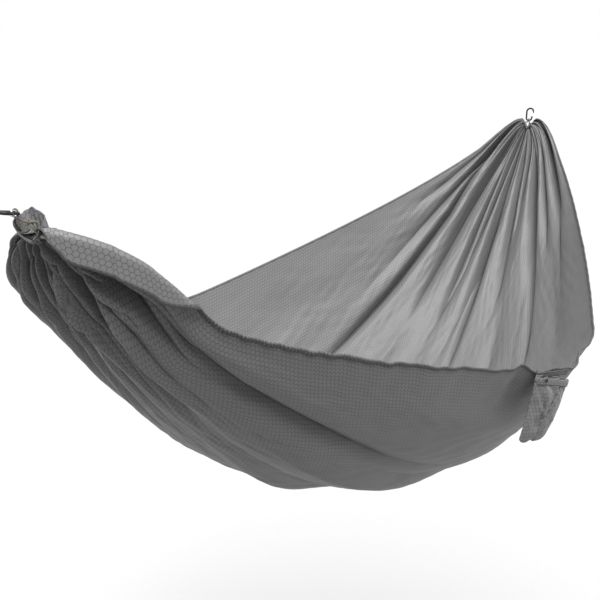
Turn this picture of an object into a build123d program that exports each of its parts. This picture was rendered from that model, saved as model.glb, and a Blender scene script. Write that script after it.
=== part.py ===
from build123d import *
import math
import os

# Gathered-end camping hammock, hung and empty. Millimetres, +Z up.
# Origin: the middle of the foot-end carabiner's lower bend, where the foot cord loop carries it.
# +X runs to the head end. The near edge, with the stuff sack, is on -Y and the far edge on +Y.

# ---- driving dimensions: the hung bed ----
SPAN = 2400.0            # between the two hanging points
HALF_WIDTH_END = 30.0    # half the spread of the cloth, ends to middle
HALF_WIDTH_MID = 562.0
EDGE_SAG = 478.0         # how far the long edges hang below the hanging points
KEEL_SAG_END = 30.0      # how far the lowest line hangs below them, ends to middle
KEEL_SAG_MID = 839.0
SPREAD_POWER = 0.69      # how quickly the cloth fans out from a gathered end
EDGE_POWER = 0.52
KEEL_POWER = 0.95
MIDDLE_ROUNDING = 0.05   # how softly the long edges turn at their middle
SECTION_POWER = 2.38     # fullness of the cross-section
SECTION_BULGE = 0.07     # how far the walls belly out past a straight spread
NEAR_LIFT = 76.0         # how much higher the near edge's folded-out lip stands beside the foot end
LIFT_RISE = 0.010        # over how much of the span that lip rises, and where it has gone again
LIFT_FALL = 0.075
BED_THICKNESS = 3.0
BED_START = 0.006        # where the bed cloth leaves the gathers, as a share of the span
BED_END = 0.979
BED_STEPS = 24
SECTION_STEPS = 12

# ---- driving dimensions: hems, gathers and loops ----
HEM_RADIUS = 3.0
HEM_RUNS = 20
HEM_CLEARANCE = 0.6
CORD_RADIUS = 1.75
SLEEVE_RADIUS = 10.0     # the end channel, gathered up on its cord
LOOP_DROP = 30.0         # from the carabiner's lower bend to the bottom of the cord loop
LOOP_HALF_WIDTH = 17.0
LOOP_TILT = 60.0         # elevation of the cord loops, degrees
FIT_GAP = 0.3

# ---- driving dimensions: carabiners ----
ROD_RADIUS = 2.75
WIRE_RADIUS = 1.0
FOOT_TILT, FOOT_TURN = 10.0, 15.0      # elevation, and swing towards the near side, degrees
HEAD_TILT, HEAD_TURN = 75.0, 0.0
HEAD_HANG = (2388.0, 0.0, -46.0)       # the head carabiner's lower bend
GATE_LENGTH = 16.0

# ---- driving dimensions: stuff sack ----
SACK_FROM, SACK_TO = 0.40, 0.455       # where along the near edge it is sewn
SACK_STANDOFF = 5.0      # the sewn line's distance outside the edge
SACK_LEAN = 7.4          # the sack hangs with its weight under the sewn line, degrees
SACK_WIDTH_TOP = 130.0
SACK_WIDTH_BOTTOM = 108.0
SACK_DRIFT = -4.0        # how far the bottom's left corner hangs past the mouth's
SACK_HEIGHT = 155.0      # from the sewn line to the bottom seam
SACK_MOUTH = 20.0        # from the sewn line down to the panels' top edges
SACK_DEPTH = 22.0
SACK_WALL = 1.5
HEM_BAND = 10.0          # height of the folded band round the mouth

os.makedirs("parts", exist_ok=True)


def save(shape, name):
    """Write one sub-part as parts/NAME.step."""
    shape.label = name
    export_step(shape, f"parts/{name}.step")


# ---------------------------------------------------------------- bed cloth
def bed_point(u, v):
    """A point on the hung cloth: u runs from foot to head, v from -1 near edge to +1 far edge."""
    from_middle = math.hypot(1 - 2 * u, MIDDLE_ROUNDING) - MIDDLE_ROUNDING
    reach = 1 - from_middle / (math.hypot(1, MIDDLE_ROUNDING) - MIDDLE_ROUNDING)
    belly = 4 * u * (1 - u)
    half = HALF_WIDTH_END + (HALF_WIDTH_MID - HALF_WIDTH_END) * reach**SPREAD_POWER
    edge = -EDGE_SAG * reach**EDGE_POWER
    if v < 0 and u > BED_START:
        edge += NEAR_LIFT * (1 - math.exp((BED_START - u) / LIFT_RISE)) * math.exp(-((u / LIFT_FALL) ** 4))
    keel = -(KEEL_SAG_END + (KEEL_SAG_MID - KEEL_SAG_END) * belly**KEEL_POWER)
    y = half * v * (1 + SECTION_BULGE * (1 - v * v))
    z = edge + (keel - edge) * (1 - abs(v) ** SECTION_POWER)
    return Vector(SPAN * u, y, z)


def eased(i, steps, first, last):
    """Stations from first to last, closer together towards both ends."""
    share = (1 - math.cos(math.pi * i / steps)) / 2
    return first + (last - first) * share


def bed_fabric():
    """The bed cloth as one thin closed sheet."""
    grid = []
    for i in range(BED_STEPS + 1):
        u = eased(i, BED_STEPS, BED_START, BED_END)
        grid.append([bed_point(u, -1 + 2 * j / SECTION_STEPS) for j in range(SECTION_STEPS + 1)])
    sheet = Face.make_surface_from_array_of_points(grid, tol=0.6, min_deg=3, max_deg=5)
    return Solid.thicken(sheet, BED_THICKNESS)


def edge_hem(side):
    """The rolled hem along one long edge, just outside the bed cloth's edge."""
    offset = HEM_RADIUS + BED_THICKNESS / 2 + HEM_CLEARANCE
    points = []
    for i in range(HEM_RUNS + 1):
        u = eased(i, HEM_RUNS, BED_START + 0.012, BED_END - 0.008)
        points.append(bed_point(u, side) + Vector(0, side * offset, offset))
    radii = []
    for a, b, c in zip(points, points[1:], points[2:]):
        turn = math.radians((b - a).get_angle(c - b))
        radii.append(0.45 * min((b - a).length, (c - b).length) / math.tan(turn / 2))
    path = FilletPolyline(*points, radius=radii)
    profile = Plane(origin=path @ 0, z_dir=path % 0) * Circle(HEM_RADIUS)
    return sweep(profile, path=path)


# ---------------------------------------------------------------- cord loops and gathers
def loop_frame(hang, outward):
    """Local X across the hammock, local Y up along the loop, origin at the carabiner's bend."""
    tilt = math.radians(LOOP_TILT)
    up = Vector(outward * math.cos(tilt), 0, math.sin(tilt))
    across = Vector(0, 1, 0)
    return Plane(origin=hang, x_dir=across, z_dir=across.cross(up))


def loop_points():
    """The cord loop's corners in its own frame: over the carabiner's bend, and round the sleeve."""
    wrap = ROD_RADIUS + CORD_RADIUS + FIT_GAP
    wide, low = LOOP_HALF_WIDTH, -LOOP_DROP
    return [
        (-wide, low + 22, -1),
        (-4, -5, -wrap - 1.2),
        (0, wrap + 0.1, -wrap - 0.8),
        (0, wrap + 0.1, wrap + 0.8),
        (4, -5, wrap + 1.2),
        (wide, low + 14, 0),
        (wide, low, 0),
        (-wide, low, 0),
        (-wide, low + 20, 0),
    ]


LOOP_RADII = [5.0, 4.8, 4.8, 5.0, 10.0, 8.0, 8.0]


def cord_loop(frame, radius=CORD_RADIUS):
    """One cord, from the knot over the carabiner's bend, through the sleeve and back to the knot."""
    path = FilletPolyline(*loop_points(), radius=LOOP_RADII)
    profile = Plane(origin=path @ 0, z_dir=path % 0) * Circle(radius)
    return frame.location * sweep(profile, path=path)


def end_sleeve(frame):
    """The end channel gathered on its cord: a horseshoe open towards the carabiner."""
    wide, low, top = LOOP_HALF_WIDTH, -LOOP_DROP, -LOOP_DROP + 14
    path = FilletPolyline((wide + 2, top, 0), (wide, low, 0), (-wide, low, 0), (-wide - 2, top, 0), radius=8.0)
    profile = Plane(origin=path @ 0, z_dir=path % 0) * Circle(SLEEVE_RADIUS)
    sleeve = frame.location * sweep(profile, path=path)
    return sleeve - cord_loop(frame, CORD_RADIUS + 0.05)


def loop_knot(frame):
    """The knot that joins the cord's two ends, on the near side, above the sleeve."""
    knot = Sphere(3.8) + Location((0, 3.0, -0.5)) * Sphere(3.4)
    return frame.location * (Location((-LOOP_HALF_WIDTH, -LOOP_DROP + 20, 0)) * knot)


def end_reinforcement(frame, u):
    """The doubled cloth that fans out from the sleeve to the bed."""
    edge, other = bed_point(u, -1), bed_point(u, 1)
    middle = (edge + other) / 2
    low = (frame.location * Location((0, -LOOP_DROP - SLEEVE_RADIUS, 0))).position
    down = (middle - low).normalized()
    top_plane = Plane(origin=low + down * 4, x_dir=(0, 1, 0), z_dir=down)
    end_plane = Plane(origin=middle - down * 5, x_dir=(0, 1, 0), z_dir=down)
    top = top_plane * RectangleRounded(2 * LOOP_HALF_WIDTH + 10, 12, 5)
    end = end_plane * RectangleRounded((other - edge).Y, 7, 3)
    return loft([top, end])


# ---------------------------------------------------------------- carabiners
PIVOT = (9.5, 13.0)      # the gate's pivot hole in the lower bend's end
GATE_ANGLE = 83.0        # the closed gate's direction, degrees from local X


def carabiner_frame(hang, outward, tilt_deg, turn_deg):
    """Local Y along the carabiner from its lower bend, local X across it with the gate on +X."""
    tilt, turn = math.radians(tilt_deg), math.radians(turn_deg)
    along = Vector(outward * math.cos(tilt) * math.cos(turn), -math.cos(tilt) * math.sin(turn), math.sin(tilt))
    across = Vector(0, -1, 0)
    across = (across - along * across.dot(along)).normalized()
    return Plane(origin=hang, x_dir=across, z_dir=across.cross(along))


def gate_end():
    """Where the closed gate's cross-bar sits in the nose."""
    a = math.radians(GATE_ANGLE)
    return PIVOT[0] + GATE_LENGTH * math.cos(a), PIVOT[1] + GATE_LENGTH * math.sin(a)


def carabiner_body():
    """The bent rod, open between the lower end and the hooked nose."""
    bar_x, bar_y = gate_end()
    corners = [PIVOT, (8.5, 0), (-8.5, 0), (-11.5, 40.5), (13.0, 40.5), (bar_x, bar_y - 1.6)]
    path = FilletPolyline(*corners, radius=[7.5, 7.5, 11.0, 10.0])
    profile = Plane(origin=path @ 0, z_dir=path % 0) * Circle(ROD_RADIUS)
    body = sweep(profile, path=path)
    body += Location((*corners[0], 0)) * Sphere(ROD_RADIUS)
    body += Location((*corners[-1], 0)) * Sphere(ROD_RADIUS)
    body -= Location((*PIVOT, 0)) * Cylinder(WIRE_RADIUS + 0.05, 20)
    notch = Box(6.0, 2 * WIRE_RADIUS + 0.8, 20)
    body -= Location((bar_x + WIRE_RADIUS + FIT_GAP - 3.0, bar_y, 0)) * notch
    return body


def carabiner_gate():
    """The wire gate: two pivot ends, two side wires and the cross-bar that closes on the nose."""
    out = ROD_RADIUS + WIRE_RADIUS + FIT_GAP
    x0, y0 = PIVOT
    x1, y1 = gate_end()
    path = FilletPolyline(
        (x0, y0, 0.6), (x0, y0, out), (x1, y1, out), (x1, y1, -out), (x0, y0, -out), (x0, y0, -0.6), radius=1.1
    )
    profile = Plane(origin=path @ 0, z_dir=path % 0) * Circle(WIRE_RADIUS)
    return sweep(profile, path=path)


# ---------------------------------------------------------------- stuff sack
def sack_frame():
    """Local X along the near edge, local Y up, local Z outwards. The origin is on the sewn line."""
    start, end = bed_point(SACK_FROM, -1), bed_point(SACK_TO, -1)
    along = (end - start).normalized()
    outward = Vector(along.Y, -along.X, 0).normalized()
    sewn = Plane(origin=start + outward * SACK_STANDOFF, x_dir=along, z_dir=outward)
    return sewn.location * Rotation(SACK_LEAN, 0, 0)


def sack_outline(inset, depth, top):
    """The sack's outline at one depth: straight mouth, slanted sides, narrower bottom."""
    low = -SACK_HEIGHT + inset
    right = SACK_WIDTH_TOP - inset
    low_left = SACK_DRIFT + inset
    low_right = SACK_DRIFT + SACK_WIDTH_BOTTOM - inset
    corners = [(inset, top), (right, top), (low_right, low), (low_left, low)]
    return Plane.XY.offset(depth) * make_face(Polyline(*corners, close=True))


def sack_panel(side):
    """One panel, belled out from the side seams to half the sack's depth, open at the mouth."""
    seam = SACK_DEPTH / 2
    face = seam + side * seam
    shell = loft([sack_outline(0, seam, -SACK_MOUTH), sack_outline(10, face, -SACK_MOUTH)])
    room = loft([
        sack_outline(SACK_WALL, seam - side * 0.01, 20),
        sack_outline(10 + SACK_WALL, face - side * SACK_WALL, 20),
    ])
    return shell - room


def sack_mouth_hem():
    """The folded band round the sack's mouth, standing on the two panels."""
    outer = Box(SACK_WIDTH_TOP - 14, HEM_BAND, SACK_DEPTH)
    inner = Box(SACK_WIDTH_TOP - 20, HEM_BAND + 2, SACK_DEPTH - 4)
    return Location((SACK_WIDTH_TOP / 2, -SACK_MOUTH + HEM_BAND / 2 + 0.2, SACK_DEPTH / 2)) * (outer - inner)


def sack_tab():
    """The strip that joins the sack's back to the near hem, on the sewn line."""
    length = SACK_MOUTH - HEM_BAND - 0.8
    return Location((SACK_WIDTH_TOP / 2, -length / 2, 0.8)) * Box(SACK_WIDTH_TOP - 16, length, SACK_WALL)


def sack_bar_tacks():
    """Dense stitching across each end of the sewn strip."""
    tack = Box(3.0, 9.0, 1.2)
    places = [(5.5, -5.0, 0.8), (SACK_WIDTH_TOP - 5.5, -5.0, 0.8)]
    return Compound([Location(p) * tack for p in places])


def sack_eyelet():
    """The eyelet in the mouth band, where a closing cord comes out."""
    ring = Cylinder(4.0, 1.6) - Cylinder(2.1, 2.0)
    return Location((16, -SACK_MOUTH + HEM_BAND / 2, SACK_DEPTH + 1.0)) * ring


# ---------------------------------------------------------------- stitching at the hems' ends
def hem_bar_tacks():
    """Four blocks of dense stitching, one where each long edge meets an end reinforcement."""
    tacks = []
    for u in (BED_START + 0.009, BED_END - 0.005):
        for side in (-1, 1):
            p = bed_point(u, side) + Vector(0, side * 5.5, 5.5)
            tacks.append(Location(p) * Box(5, 5, 5))
    return Compound(tacks)


def build_all():
    save(bed_fabric(), "bed_fabric")
    save(edge_hem(-1), "near_edge_hem")
    save(edge_hem(1), "far_edge_hem")
    ends = [
        ("foot", (0, 0, 0), -1, FOOT_TILT, FOOT_TURN, BED_START),
        ("head", HEAD_HANG, 1, HEAD_TILT, HEAD_TURN, BED_END),
    ]
    for name, hang, outward, tilt, turn, u in ends:
        frame = loop_frame(hang, outward)
        save(cord_loop(frame), f"{name}_cord_loop")
        save(end_sleeve(frame), f"{name}_end_sleeve")
        save(loop_knot(frame), f"{name}_loop_knot")
        save(end_reinforcement(frame, u), f"{name}_end_reinforcement")
        place = carabiner_frame(hang, outward, tilt, turn).location
        save(place * carabiner_body(), f"{name}_carabiner_body")
        save(place * carabiner_gate(), f"{name}_carabiner_gate")
    hang = sack_frame()
    save(hang * sack_panel(1), "sack_front_panel")
    save(hang * sack_panel(-1), "sack_back_panel")
    save(hang * sack_mouth_hem(), "sack_mouth_hem")
    save(hang * sack_tab(), "sack_tab")
    save(hang * sack_bar_tacks(), "sack_bar_tacks")
    save(hang * sack_eyelet(), "sack_eyelet")
    save(hem_bar_tacks(), "hem_bar_tacks")


build_all()
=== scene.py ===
"""A gathered-end camping hammock, hung and empty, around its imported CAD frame. Metres, +Z up."""
import math

import bmesh
import bpy
import numpy as np
from mathutils import Matrix, Vector


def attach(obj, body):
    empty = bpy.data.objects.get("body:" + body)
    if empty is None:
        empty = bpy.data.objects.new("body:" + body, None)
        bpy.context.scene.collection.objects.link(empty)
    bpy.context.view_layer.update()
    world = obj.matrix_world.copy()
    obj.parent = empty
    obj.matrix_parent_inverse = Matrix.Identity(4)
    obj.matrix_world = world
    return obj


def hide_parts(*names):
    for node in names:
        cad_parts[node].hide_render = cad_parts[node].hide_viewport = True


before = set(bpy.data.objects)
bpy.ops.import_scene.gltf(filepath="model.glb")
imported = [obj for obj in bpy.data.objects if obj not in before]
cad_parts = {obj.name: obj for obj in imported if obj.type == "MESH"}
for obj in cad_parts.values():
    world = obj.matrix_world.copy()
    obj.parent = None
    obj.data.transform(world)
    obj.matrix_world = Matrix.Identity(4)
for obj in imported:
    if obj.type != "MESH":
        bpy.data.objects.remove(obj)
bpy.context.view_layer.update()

# ---- driving dimensions of the hung cloth, as the CAD bed has them ----
SPAN = 2.4
HALF_WIDTH_END, HALF_WIDTH_MID = 0.030, 0.562
EDGE_SAG = 0.478
KEEL_SAG_END, KEEL_SAG_MID = 0.030, 0.839
SPREAD_POWER, EDGE_POWER, KEEL_POWER = 0.69, 0.52, 0.95
MIDDLE_ROUNDING = 0.05
SECTION_POWER, SECTION_BULGE = 2.38, 0.07
NEAR_LIFT, LIFT_START, LIFT_RISE, LIFT_FALL = 0.076, 0.006, 0.010, 0.075

# ---- what the near edge has beyond that: a tuck, waves and two short tugs ----
NEAR_TUCK, TUCK_AT, TUCK_RUN = 0.032, 0.510, 0.032
EDGE_WAVES = [(0.0018, 0.062, 1), (0.0010, 0.0235, 0)]    # height, length in u, phase
EDGE_PULLS = [(0.010, 0.386), (-0.007, 0.406)]            # height, u
PULL_RUN = 0.010

# ---- the flat cloth and its weave ----
CLOTH_LENGTH, CLOTH_WIDTH = 3.00, 1.40
CLOTH_THICKNESS = 0.0008
CELL = 0.0098            # across one honeycomb cell

# ---- mesh grid ----
ROWS, COLUMNS = 380, 300
END_CROWDING = 0.86      # how much closer the rows stand towards the ends
EDGE_CALM = 0.75         # the share of the folds' height that the hems take away

# ---- gathered ends ----
FOOT_HANG = Vector((0.0, 0.0, 0.0))
HEAD_HANG = Vector((2.388, 0.0, -0.046))
LOOP_TILT = math.radians(60)
LOOP_DROP = 0.030
LOOP_HALF_WIDTH, LOOP_LEG = 0.017, 0.014
RING_TURN, LEAVE_TURN = math.radians(150), math.radians(140)
CORD_RADIUS = 0.00175
CORD_LAY = 0.0042        # from one strand of the braid to the next, along the cord
STRANDS = 4
TURN = 2 * math.pi


def smooth(x):
    """0 below 0, 1 above 1, an even curve between."""
    x = np.clip(x, 0, 1)
    return x * x * (3 - 2 * x)


def bell(x, power=2):
    """1 at 0 and fading evenly to both sides, the more abruptly the higher the power."""
    return np.exp(-(np.abs(x) ** power))


def angles(count):
    """Evenly spaced angles, once round."""
    return np.linspace(0, TURN, count, endpoint=False)


def distances(points, axis=0):
    """How far each point is along a line of points, or along the lines of a grid."""
    steps = np.linalg.norm(np.diff(points, axis=axis), axis=-1)
    return np.insert(np.cumsum(steps, axis=axis), 0, 0, axis=axis)


def pairs(a, b):
    """The grid of all pairs of a and b."""
    return np.stack(np.broadcast_arrays(a[:, None], b[None, :]), -1)


def unit(a):
    """Vectors made 1 long."""
    return a / np.maximum(np.linalg.norm(a, axis=-1, keepdims=True), 1e-12)


def tangents(line):
    return unit(np.gradient(line, axis=0))


# ---- base shape of the hung cloth ----
def hung(u, v):
    """The smooth hung shape: u from foot to head, v from -1 near edge to +1 far edge."""
    span = math.hypot(1, MIDDLE_ROUNDING) - MIDDLE_ROUNDING
    reach = np.clip(1 - (np.hypot(1 - 2 * u, MIDDLE_ROUNDING) - MIDDLE_ROUNDING) / span, 0, 1)
    belly = np.clip(4 * u * (1 - u), 0, 1)
    half = HALF_WIDTH_END + (HALF_WIDTH_MID - HALF_WIDTH_END) * reach**SPREAD_POWER
    edge = -EDGE_SAG * reach**EDGE_POWER
    past = np.maximum(u - LIFT_START, 0)
    lift = NEAR_LIFT * (1 - np.exp(-past / LIFT_RISE)) * bell(u / LIFT_FALL, 4)
    edge = edge + lift * smooth(-v / 0.25)
    keel = -(KEEL_SAG_END + (KEEL_SAG_MID - KEEL_SAG_END) * belly**KEEL_POWER)
    y = half * v * (1 + SECTION_BULGE * (1 - v * v))
    z = edge + (keel - edge) * (1 - np.abs(v) ** SECTION_POWER)
    tuck = bell((u - TUCK_AT) / TUCK_RUN) * smooth((-v - 0.5) / 0.5)
    y = y + NEAR_TUCK * tuck
    z = z + NEAR_TUCK * 0.4 * tuck
    near = smooth((-v - 0.80) / 0.2) * smooth((u - 0.14) / 0.05) * smooth((0.62 - u) / 0.08)
    rough = sum(height * np.sin(6.28 * u / length + phase) for height, length, phase in EDGE_WAVES)
    rough += sum(height * bell((u - at) / PULL_RUN) for height, at in EDGE_PULLS)
    z = z + near * rough
    return np.stack([SPAN * u + 0 * v, y, z], -1)


class Gather:
    """One gathered end: the cord's bend through the channel and how the cloth leaves it."""

    def __init__(self, name, hang, outward, join, flare, lean=(0.0, 0.0, 0.0), ring=None, vee=None):
        self.name = name
        self.vee = vee           # half width and height of a V-shaped bend, if it isn't round
        self.ring = ring         # radius of the tight ring the cloth is drawn into, if any
        self.hang = np.array(hang)
        self.lean = np.array(lean)   # how far the bottom of the bend is pulled aside
        self.up = np.array([outward * math.cos(LOOP_TILT), 0.0, math.sin(LOOP_TILT)])
        self.across = np.array([0.0, 1.0, 0.0])
        self.join = join         # u where the gathered zone meets the hung shape
        self.flare = flare       # how far the cloth stands out before it turns down

    def bend(self, v):
        """A point of the cord's U or V bend, from v=-1 on the near side to v=+1."""
        if self.vee:
            wide, high = self.vee
            return self.place(wide * v * np.abs(v) ** 0.15, -LOOP_DROP + high * np.abs(v) ** 1.2)
        arc = math.pi / 2 * LOOP_HALF_WIDTH
        s = v * (arc + LOOP_LEG)
        turn = np.clip(s / LOOP_HALF_WIDTH, -math.pi / 2, math.pi / 2)
        rise = np.maximum(np.abs(s) - arc, 0)
        y = LOOP_HALF_WIDTH * np.sin(turn)
        z = -LOOP_DROP + LOOP_HALF_WIDTH * (1 - np.cos(turn)) + rise
        return self.place(y, z)

    def mouth(self, v):
        """Where the cloth leaves the gather: the tight ring, or else the cord's bend."""
        if self.ring is None:
            return self.bend(v)
        turn = v * RING_TURN
        y, z = self.ring * np.sin(turn), self.ring * (1 - np.cos(turn))
        return self.place(0.0, -LOOP_DROP) + y[..., None] * self.across + z[..., None] * self.up

    def place(self, y, z, out=0.0):
        """A point by its distances across, up and out of the loop's plane."""
        y, z, out = (np.asarray(a, float)[..., None] for a in (y, z, out))
        flat = self.hang + y * self.across + z * self.up + out * np.cross(self.across, self.up)
        return flat + self.lean * np.clip(-z / LOOP_DROP, 0, 1)

    def leave(self, v):
        """The direction in which the cloth leaves the bend."""
        turn = v * LEAVE_TURN
        way = np.sin(turn)[..., None] * self.across - np.cos(turn)[..., None] * self.up
        return way * self.flare(v)[..., None]


def foot_flare(v):
    """How far the cloth stands out from the foot's ring: most on the two sides."""
    return 0.060 + 0.040 * smooth((-v - 0.55) / 0.4) + 0.064 * smooth((v - 0.1) / 0.5)


def head_flare(v):
    """How far the cloth stands out from the head's bend: most beside the two humps."""
    return 0.075 + 0.052 * smooth((np.abs(v) - 0.35) / 0.6)


JOIN = 0.050             # how far in, in u, the gathered zone meets the hung shape
FOOT = Gather("foot", FOOT_HANG, -1, JOIN, foot_flare, lean=(0.0137, -0.0141, -0.020), ring=0.007)
HEAD = Gather("head", HEAD_HANG, 1, 1 - JOIN, head_flare, vee=(0.0180, 0.033))


def gathered(u, v):
    """The hung shape, drawn in smoothly to the two cord bends."""
    points = hung(u, v)
    for gather, start in ((FOOT, 0.0), (HEAD, 1.0)):
        t = np.clip(np.abs(u - start) / JOIN, 0, 1)[..., None]
        joint = np.full_like(u, gather.join)
        step = 0.004 * (1 if start < 0.5 else -1)
        p0, p1 = gather.mouth(v), hung(joint, v)
        t0, t1 = gather.leave(v), (hung(joint + step, v) - p1) / abs(step) * JOIN
        h = (2 * t**3 - 3 * t**2 + 1) * p0 + (t**3 - 2 * t**2 + t) * t0
        h = h + (3 * t**2 - 2 * t**3) * p1 + (t**3 - t**2) * t1
        points = np.where(t < 1, h, points)
    return points


def normals_of(points):
    """Unit normals of a grid of points, towards the inside of the hammock."""
    along = np.gradient(points, axis=0)
    across = np.gradient(points, axis=1)
    return unit(np.cross(along, across))


# ---- folds ----
def fold(u, v, scale, path, depth, width, fade_in, fade_out):
    """One fold along a given path of (u, v), as a height field.

    scale turns a step in v into metres, and width is the fold's half width."""
    at, across = zip(*path)
    d = (v - np.interp(u, at, across)) * scale
    run = smooth((u - at[0]) / fade_in) * smooth((at[-1] - u) / fade_out)
    return depth * bell(d / width, 1.5) * run


HEAD_VALLEYS = [
    # path of (u, v) from the head end down, depth, half width
    ([(0.5, 0.52), (0.6, 0.56), (0.773, 0.6), (0.88, 0.64), (0.943, 0.74), (1.0, 0.8)], 0.04, 0.011),
    ([(0.7, 0.36), (0.852, 0.44), (0.943, 0.5), (1.0, 0.46)], 0.036, 0.01),
    ([(0.74, 0.16), (0.9, 0.27), (1.0, 0.32)], 0.034, 0.008),
    ([(0.62, -0.1), (0.8, -0.02), (0.939, 0.08), (1.0, 0.12)], 0.036, 0.01),
    ([(0.76, -0.27), (0.9, -0.17), (1.0, -0.1)], 0.03, 0.008),
    ([(0.6, -0.62), (0.78, -0.56), (0.88, -0.5), (0.937, -0.42), (1.0, -0.33)], 0.046, 0.011),
    ([(0.8, -0.7), (0.9, -0.64), (1.0, -0.57)], 0.03, 0.009),
    ([(0.84, -0.84), (0.93, -0.81), (1.0, -0.82)], 0.034, 0.01),
    ([(0.8, 0.9), (0.9, 0.9), (1.0, 0.93)], 0.022, 0.01),
]
FOOT_FOLDS = [
    # seen from outside: positive is a valley, negative is a ridge
    ([(0.0, -0.5), (0.034, -0.47), (0.055, -0.39), (0.1, -0.37), (0.15, -0.36)], -0.026, 0.02),
    ([(0.0, -0.4), (0.034, -0.35), (0.055, -0.27), (0.1, -0.26), (0.16, -0.25)], 0.05, 0.02),
    ([(0.0, -0.16), (0.022, -0.1), (0.05, -0.05), (0.09, -0.03)], -0.022, 0.01),
    ([(0.0, -0.08), (0.022, -0.02), (0.05, 0.03), (0.09, 0.04)], 0.026, 0.009),
    ([(0.0, -0.66), (0.043, -0.66), (0.063, -0.72), (0.095, -0.75), (0.132, -0.7), (0.217, -0.66),
      (0.34, -0.6), (0.45, -0.58)], 0.032, 0.022),
    ([(0.0, -0.78), (0.05, -0.8), (0.12, -0.82), (0.25, -0.8)], -0.012, 0.024),
    ([(0.0, 0.14), (0.05, 0.2), (0.14, 0.22)], 0.022, 0.014),
    ([(0.0, 0.34), (0.06, 0.4), (0.2, 0.45), (0.3, 0.46)], 0.02, 0.02),
    ([(0.0, 0.56), (0.08, 0.62), (0.18, 0.66)], 0.018, 0.014),
]
LONG_WAVES = [
    # the broad waves of the middle, in the same form
    ([(0.1, -0.5), (0.25, -0.42), (0.4, -0.38), (0.55, -0.36)], -0.014, 0.04),
    ([(0.12, -0.3), (0.28, -0.22), (0.45, -0.16)], 0.016, 0.034),
    ([(0.2, -0.62), (0.36, -0.5), (0.52, -0.46)], 0.01, 0.03),
    ([(0.16, -0.12), (0.3, -0.04), (0.48, 0.0)], -0.012, 0.036),
    ([(0.22, -0.88), (0.34, -0.84), (0.5, -0.8)], -0.007, 0.03),
    ([(0.45, 0.1), (0.62, 0.14), (0.8, 0.2)], -0.014, 0.036),
    ([(0.5, 0.3), (0.66, 0.34), (0.82, 0.4)], 0.014, 0.03),
    ([(0.52, -0.3), (0.68, -0.34), (0.84, -0.3)], -0.016, 0.034),
    ([(0.55, -0.8), (0.7, -0.78), (0.86, -0.72)], -0.012, 0.034),
    ([(0.3, 0.72), (0.5, 0.76), (0.72, 0.8)], -0.006, 0.06),
]


def soft_noise(u, v, seed, waves, along, across):
    """A smooth random field: a seeded sum of long waves, in about -1 to 1."""
    draw = np.random.default_rng(seed)
    total = np.zeros_like(u)
    for _ in range(waves):
        a, b = draw.uniform(-along, along), draw.uniform(-across, across)
        total += np.sin(TURN * (a * u + b * v + draw.uniform()))
    return total / math.sqrt(waves / 2) / 1.6


def pleats(v, scale, distance, count, seed, depth, reach):
    """Close, uneven pleats that run out of a gathered end and fade within its reach."""
    draw = np.random.default_rng(seed)
    starts = np.sort(np.linspace(-0.97, 0.97, count) + draw.uniform(-0.45, 0.45, count) * 1.9 / count)
    width = np.maximum(scale / count * 0.36, 0.0016)
    field = np.zeros_like(v)
    for start in starts:
        long = reach * draw.uniform(0.45, 1.25)
        drift = draw.uniform(-0.03, 0.03)
        size = depth * draw.uniform(0.6, 1.2)
        d = (v - start - drift * distance / reach) * scale
        run = bell(distance / long) * smooth(distance / 0.004 + 0.25)
        field -= size * run * bell(d / width, 1.4)
    return field


GORES = [
    # end, count, seed, depth, reach, roundness, share of the reach to full depth, depth's share at the gather
    ("foot", 12, 11, -0.0300, 0.22, 0.75, 0.12, 0.1),
    ("head", 8, 12, 0.0420, 0.46, 0.60, 0.20, 0.0),
    ("foot", 27, 13, -0.0100, 0.070, 0.60, 0.12, 0.1),
    ("head", 22, 15, 0.0080, 0.14, 0.60, 0.24, 0.0),
]


def gores(v, distance, count, seed, depth, reach, sharp, start, already):
    """Rounded gores with sharp valleys between them, drawn into a gathered end."""
    draw = np.random.default_rng(seed)
    wander, vary = np.zeros_like(v + distance), np.ones_like(v + distance)
    for k in range(1, 7):
        size, turn, slant = draw.uniform(-0.5, 0.5), draw.uniform(0, 6), draw.uniform(-1, 1)
        wander += size * np.sin(k * 1.9 * v + turn + slant * distance / reach)
        vary += draw.uniform(-0.22, 0.22) * np.sin(k * 3.1 * v + draw.uniform(0, 6) + 2 * distance / reach)
    crest = np.hypot(np.sin(math.pi * count * (v + 1) / 2 + wander), 0.08) ** sharp
    run = bell(distance / reach) * smooth(distance / (start * reach) + already)
    return depth * (crest - 0.75) * vary * run


PUFF_DEPTH, PUFF_REACH = 0.0150, 0.13      # the short puffs beside the foot gather


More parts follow.
